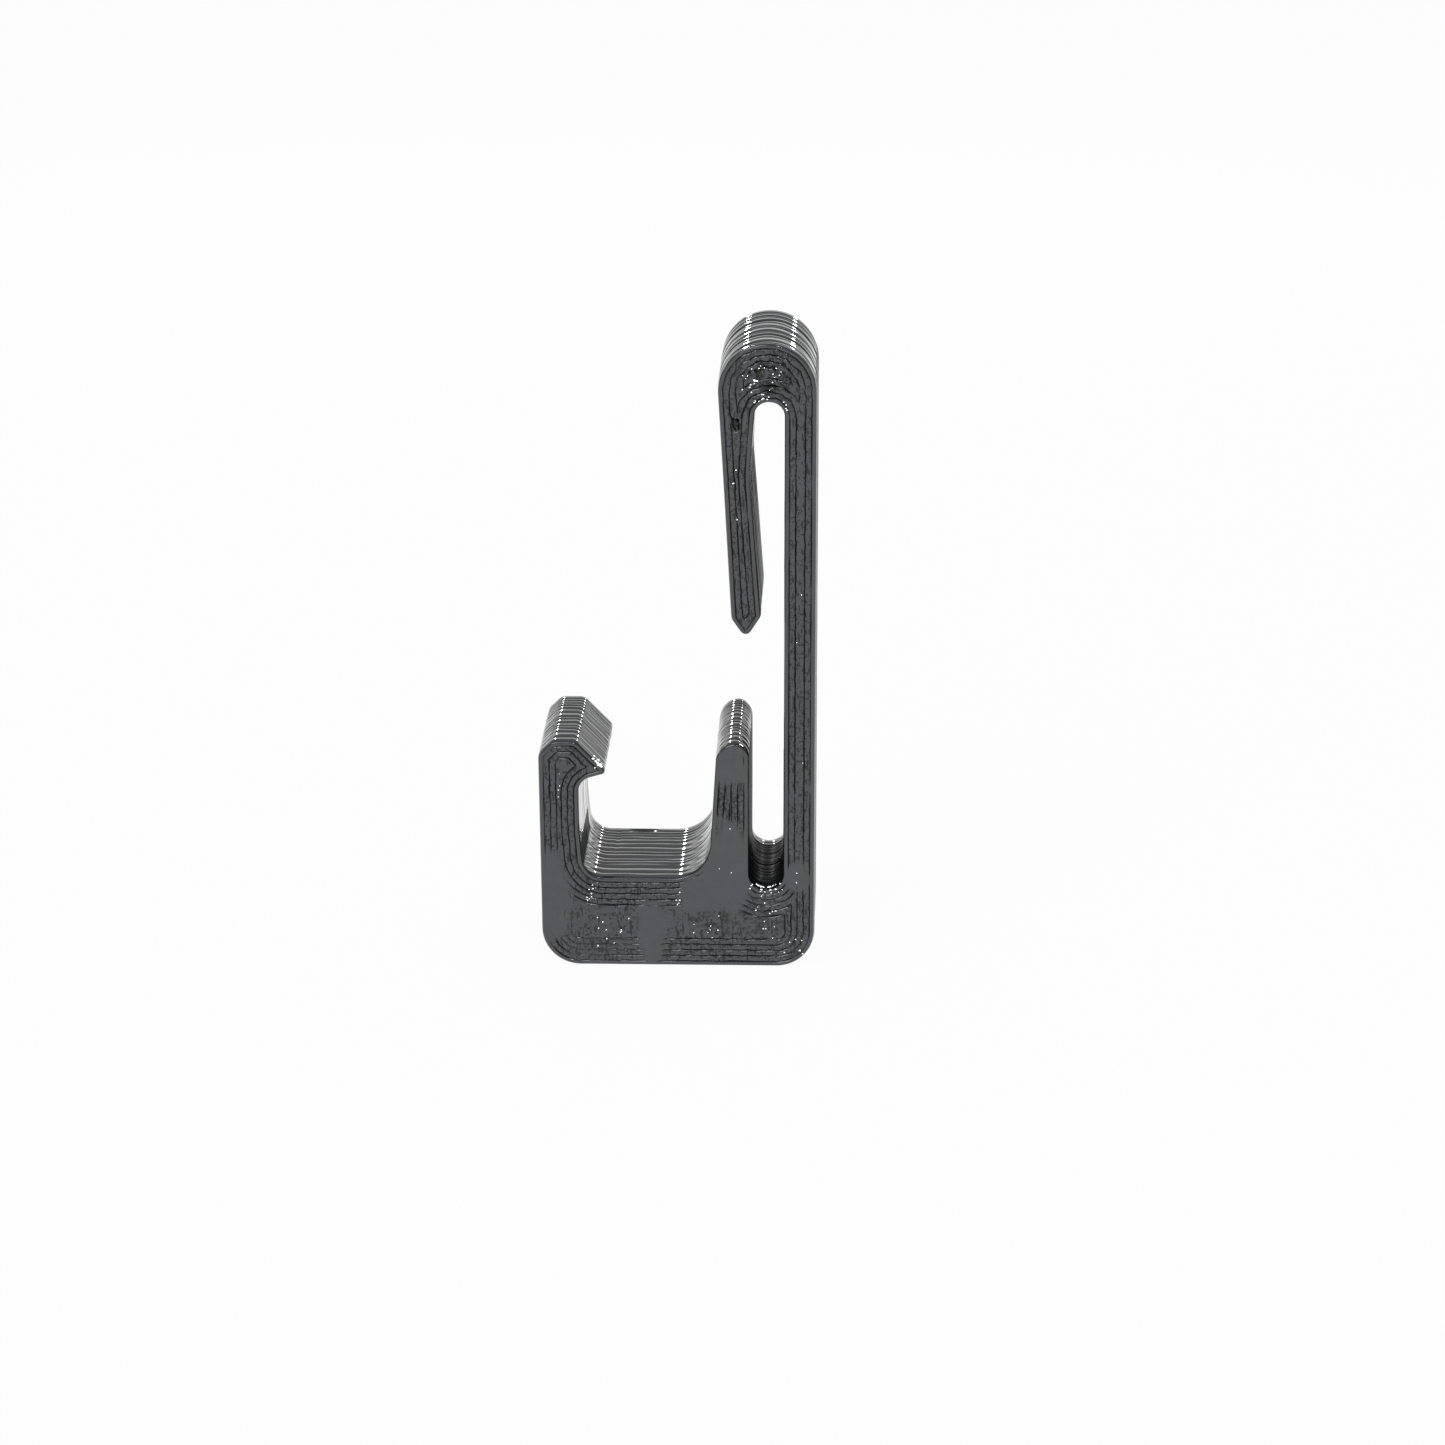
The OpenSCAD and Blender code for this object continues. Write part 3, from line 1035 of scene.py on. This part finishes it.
def dull_shaded_plastic():
    """The same plastic, rough and mirroring little, with shade painted darker where it sees no light."""
    material = bpy.data.materials.new("dull_shaded_plastic")
    material.use_nodes = True
    tree = material.node_tree
    shader = tree.nodes["Principled BSDF"]
    shader.inputs["IOR"].default_value = 1.15
    mark = attribute(tree, "mark")
    tree.links.new(ramp_up(tree, mark, 0.85, 1.0, 0.30, 0.40), shader.inputs["Roughness"])
    # Painted shade: the base colour goes from dark grey to near black as the dullness rises.
    dark = node(tree, "ShaderNodeMix", data_type="RGBA")
    tree.links.new(ramp_up(tree, mark, 0.85, 1.0), dark.inputs[0])
    dark.inputs[6].default_value = DULL_SHADE_GREY
    dark.inputs[7].default_value = DULL_SHADE_BLACK
    tree.links.new(dark.outputs[2], shader.inputs["Base Color"])
    return material


def satin_shaded_plastic():
    """The same plastic with a softer gloss and a darker grey painted on as shade, for the stem's back."""
    material = bpy.data.materials.new("satin_shaded_plastic")
    material.use_nodes = True
    shader = material.node_tree.nodes["Principled BSDF"]
    shader.inputs["Base Color"].default_value = SATIN_SHADE_GREY
    shader.inputs["Roughness"].default_value = SATIN_ROUGHNESS
    shader.inputs["IOR"].default_value = 1.5
    return material


# %% Glossy black plastic
# Painted shade: pits and strokes go towards the pit black, also the dark end of the random tone.
PIT_SHADE_AND_TONE_BLACK = (0.005, 0.0055, 0.006, 1.0)
PLASTIC_GREY = (0.030, 0.035, 0.046, 1.0)
# Painted shade: grooves, pits and duller walls go towards this black.
PAINTED_SHADE_BLACK = (0.004, 0.0045, 0.005, 1.0)
SIDE_ROUGHNESS = 0.07
FACE_ROUGHNESS = 0.24


def black_plastic():
    """Glossy black printed plastic with shade painted into its grooves, pits and duller walls."""
    material = bpy.data.materials.new("black_plastic")
    material.use_nodes = True
    tree = material.node_tree
    link = tree.links.new
    shader = tree.nodes["Principled BSDF"]
    shader.inputs["IOR"].default_value = 1.5
    inset = attribute(tree, "inset")
    smeared = attribute(tree, "patch")
    on_face = maths(tree, "GREATER_THAN", inset, 0.3)
    rough_part = ramp_up(tree, inset, 0.60, 0.72)
    rough_part = maths(tree, "MULTIPLY", rough_part, maths(tree, "SUBTRACT", 1.0, smeared))
    surface = tree.nodes.new("ShaderNodeGroup")
    surface.node_tree = grain_group()
    link(tree.nodes.new("ShaderNodeTexCoord").outputs["Object"], surface.inputs["Place"])
    link(on_face, surface.inputs["Face"])
    link(rough_part, surface.inputs["Rough"])
    link(attribute(tree, "run"), surface.inputs["Run"])

    # The tint mixes random tone with the shade painted into pits and strokes.
    tint = node(tree, "ShaderNodeMix", data_type="RGBA")
    link(surface.outputs["Tint"], tint.inputs[0])
    tint.inputs[6].default_value = PIT_SHADE_AND_TONE_BLACK
    tint.inputs[7].default_value = PLASTIC_GREY
    dark = node(tree, "ShaderNodeMix", data_type="RGBA")
    groove = attribute(tree, "groove")
    link(tint.outputs[2], dark.inputs[6])
    dark.inputs[7].default_value = PAINTED_SHADE_BLACK
    link(dark.outputs[2], shader.inputs["Base Color"])

    # Painted shade: grooves, pits and duller walls go black and lose their coat.
    mark = maths(tree, "MULTIPLY", attribute(tree, "mark"), 0.85, clamp=True)
    shade_mask = maths(tree, "MAXIMUM", groove, mark)
    link(shade_mask, dark.inputs[0])
    unshaded = maths(tree, "SUBTRACT", 1.0, shade_mask)
    skin = maths(tree, "MULTIPLY", surface.outputs["Skin"], unshaded)
    link(skin, shader.inputs["Coat Weight"])
    shader.inputs["Coat Roughness"].default_value = 0.08
    shader.inputs["Coat IOR"].default_value = 1.5

    gloss = maths(tree, "MULTIPLY", on_face, FACE_ROUGHNESS - SIDE_ROUGHNESS)
    link(maths(tree, "ADD", gloss, SIDE_ROUGHNESS), shader.inputs["Roughness"])

    bump = node(tree, "ShaderNodeBump", Strength=0.6, Distance=0.06 * MM)
    link(surface.outputs["Height"], bump.inputs["Height"])
    link(bump.outputs[0], shader.inputs["Normal"])
    return material


plastic, dull_shaded, satin_shaded = black_plastic(), dull_shaded_plastic(), satin_shaded_plastic()
for piece in (cradle, crown, arm):
    for material in (plastic, dull_shaded, satin_shaded):
        piece.data.materials.append(material)
    print(piece.name, "has", len(piece.data.materials), "materials")

# %% [markdown]
# ## Riding the bodies
# The cradle and the crown ride on the fixed body.  The arm's piece starts in
# the crown's leg, so it bends: above the cut it follows the fixed body, below
# the flexing point it follows the arm, and it turns smoothly in between.

# %% Ride, blend and replace
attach(cradle, "hook")
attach(crown, "hook")
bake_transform(arm, "hook", "arm", start=(0, 0, LEG_CUT_Z * MM), end=(0, 0, BEND_END_Z * MM))
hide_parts("base", "outer_lip", "middle_post")
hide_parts("crown", "stem")
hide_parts("spring_arm")

# %% [markdown]
# ## Stage and light
# The hook stands on a plain white floor in an even light.  Rays that reach the
# camera or a glossy surface see the floor and the low sky as white, which black
# gloss needs, because it shows little but what it mirrors.  The sky is a ramp of
# grey bands by height for gloss to mirror, and plain white for the camera.  Two
# small lamps behind the hook draw thin bright lines along its rounded edges, a
# third makes the chips sparkle, and a large soft one lights the front.

# %% Floor
FLOOR_HALF = 4.0
FLOOR_WHITE = 0.86


def seen_directly(tree):
    """1 for rays from the camera, from gloss and through glass, else 0."""
    path = tree.nodes.new("ShaderNodeLightPath")
    seen = maths(tree, "ADD", path.outputs["Is Camera Ray"], path.outputs["Is Glossy Ray"])
    return maths(tree, "ADD", seen, path.outputs["Is Transmission Ray"], clamp=True)


def make_floor():
    """A white floor that keeps a faint shadow."""
    bm = bmesh.new()
    bmesh.ops.create_grid(bm, x_segments=1, y_segments=1, size=FLOOR_HALF)
    mesh = bpy.data.meshes.new("studio_floor")
    bm.to_mesh(mesh)
    bm.free()
    floor = bpy.data.objects.new("studio_floor", mesh)
    scene.collection.objects.link(floor)
    material = bpy.data.materials.new("floor_white")
    material.use_nodes = True
    tree = material.node_tree
    tree.nodes.clear()
    matt = tree.nodes.new("ShaderNodeBsdfDiffuse")
    matt.inputs["Color"].default_value = (FLOOR_WHITE, FLOOR_WHITE, FLOOR_WHITE, 1.0)
    bright = node(tree, "ShaderNodeEmission", Strength=1.0)
    mix = tree.nodes.new("ShaderNodeMixShader")
    out = tree.nodes.new("ShaderNodeOutputMaterial")
    tree.links.new(maths(tree, "MULTIPLY", seen_directly(tree), 0.96), mix.inputs[0])
    tree.links.new(matt.outputs[0], mix.inputs[1])
    tree.links.new(bright.outputs[0], mix.inputs[2])
    tree.links.new(mix.outputs[0], out.inputs["Surface"])
    mesh.materials.append(material)
    return floor


make_floor()

# %% Sky
SKY = [  # sine of the elevation and how bright it is there
    (0.0, 0.40),
    (0.12, 0.60),
    (0.19, 1.0),
    (0.27, 1.0),
    (0.335, 0.25),
    (0.60, 0.38),
    (0.90, 0.44),
]


def make_sky():
    """A world that is white near the horizon, grey above and paler overhead."""
    world = bpy.data.worlds.new("studio_sky")
    world.use_nodes = True
    scene.world = world
    tree = world.node_tree
    part = tree.nodes.new("ShaderNodeSeparateXYZ")
    tree.links.new(tree.nodes.new("ShaderNodeTexCoord").outputs["Generated"], part.inputs[0])
    ramp = tree.nodes.new("ShaderNodeValToRGB")
    stops = ramp.color_ramp.elements
    stops[0].position, stops[1].position = SKY[0][0], SKY[-1][0]
    for place, _ in SKY[1:-1]:
        stops.new(place)
    for stop, (_, bright) in zip(stops, SKY):
        stop.color = (bright, bright, bright, 1.0)
    tree.links.new(part.outputs["Z"], ramp.inputs[0])
    seen = tree.nodes.new("ShaderNodeLightPath").outputs["Is Camera Ray"]
    shown = node(tree, "ShaderNodeMix", data_type="RGBA")
    tree.links.new(seen, shown.inputs[0])
    tree.links.new(ramp.outputs[0], shown.inputs[6])
    shown.inputs[7].default_value = (1.0, 1.0, 1.0, 1.0)
    tree.links.new(shown.outputs[2], tree.nodes["Background"].inputs[0])


make_sky()

# %% Lamps
HOOK_MIDDLE = Vector((0.0, 0.0, 0.036))
EDGE_LAMPS = [  # name, place in metres, width, height and power in watts
    ("edge_lamp_right", (0.106, 0.450, 0.130), 0.012, 0.030, 0.050),
    ("edge_lamp_left", (-0.093, 0.450, 0.142), 0.018, 0.034, 0.085),
]


def lamp(name, place, width, height, power):
    """An upright area lamp that faces the middle of the hook."""
    data = bpy.data.lights.new(name, "AREA")
    data.shape = "RECTANGLE"
    data.size, data.size_y = width, height
    data.energy = power
    made = bpy.data.objects.new(name, data)
    scene.collection.objects.link(made)
    made.location = place
    made.rotation_euler = (HOOK_MIDDLE - Vector(place)).to_track_quat("-Z", "Y").to_euler()
    return made


for edge_lamp in EDGE_LAMPS:
    lamp(*edge_lamp)
lamp("glint_lamp", GLINT_LAMP, 0.12, 0.12, 1.5)
lamp("soft_box", (-0.5, -0.9, 1.1), 0.9, 0.9, 8.0)
